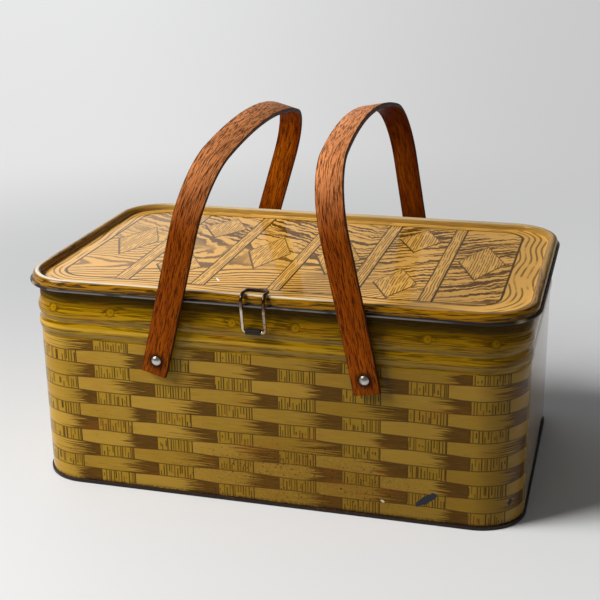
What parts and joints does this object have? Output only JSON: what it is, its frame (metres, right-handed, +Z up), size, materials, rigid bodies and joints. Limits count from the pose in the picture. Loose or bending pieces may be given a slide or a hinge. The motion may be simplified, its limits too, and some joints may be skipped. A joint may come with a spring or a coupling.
{
  "type": "lunch box",
  "caption": "Printed tinplate lunch box shaped like a picnic basket, with a hinged lid, a wire latch and swinging bentwood handles for carrying food.",
  "frame": {"origin": "middle of the base, on the surface that the box stands on", "axes": "+X along the box to its right, +Y to the hinged back, +Z up"},
  "size_m": [0.3502, 0.2336, 0.2525],
  "materials": {
    "printed_tin": "lithographed basket weave, varnished, worn",
    "printed_lid": "lithographed wood grain, varnished, worn",
    "dark_tin": "darkened tinplate",
    "bare_steel": "worn bright steel",
    "bentwood": "stained and varnished bent strip, open pores"
  },
  "bodies": {
    "case": {"body_wall": "printed_tin", "rim_wire": "bare_steel", "bottom_panel": "dark_tin", "hinge_strap_left": "dark_tin", "hinge_strap_right": "dark_tin", "hinge_rivets_left": "bare_steel", "hinge_rivets_right": "bare_steel", "left_front_rivet": "bare_steel", "left_back_rivet": "bare_steel", "right_front_rivet": "bare_steel", "right_back_rivet": "bare_steel", "left_front_spacer": "bare_steel", "left_back_spacer": "bare_steel", "right_front_spacer": "bare_steel", "right_back_spacer": "bare_steel", "left_front_burr": "bare_steel", "left_back_burr": "bare_steel", "right_front_burr": "bare_steel", "right_back_burr": "bare_steel", "latch_strap": "dark_tin"},
    "lid": {"lid_shell": "printed_lid", "lid_wire": "bare_steel"},
    "left_handle": {"left_handle": "bentwood"},
    "right_handle": {"right_handle": "bentwood"},
    "latch": {"latch_loop": "bare_steel"}
  },
  "joints": [
    {"name": "lid_hinge", "type": "hinge", "parent": "case", "child": "lid", "pos_m": [0, 0.10745, 0.14355], "axis": [-1, 0, 0], "range_deg": [0, 18.5]},
    {"name": "left_handle_swing", "type": "hinge", "parent": "case", "child": "left_handle", "pos_m": [-0.0725, 0, 0.1], "axis": [0, 1, 0], "range_deg": [-141.6, 7.7]},
    {"name": "right_handle_swing", "type": "hinge", "parent": "case", "child": "right_handle", "pos_m": [0.0685, 0, 0.1], "axis": [0, 1, 0], "range_deg": [-12.9, 136.4]},
    {"name": "latch_swing", "type": "hinge", "parent": "case", "child": "latch", "pos_m": [-0.005, -0.1068, 0.1256], "axis": [1, 0, 0], "range_deg": [0, 169], "deforming": ["latch_loop"]}
  ]
}
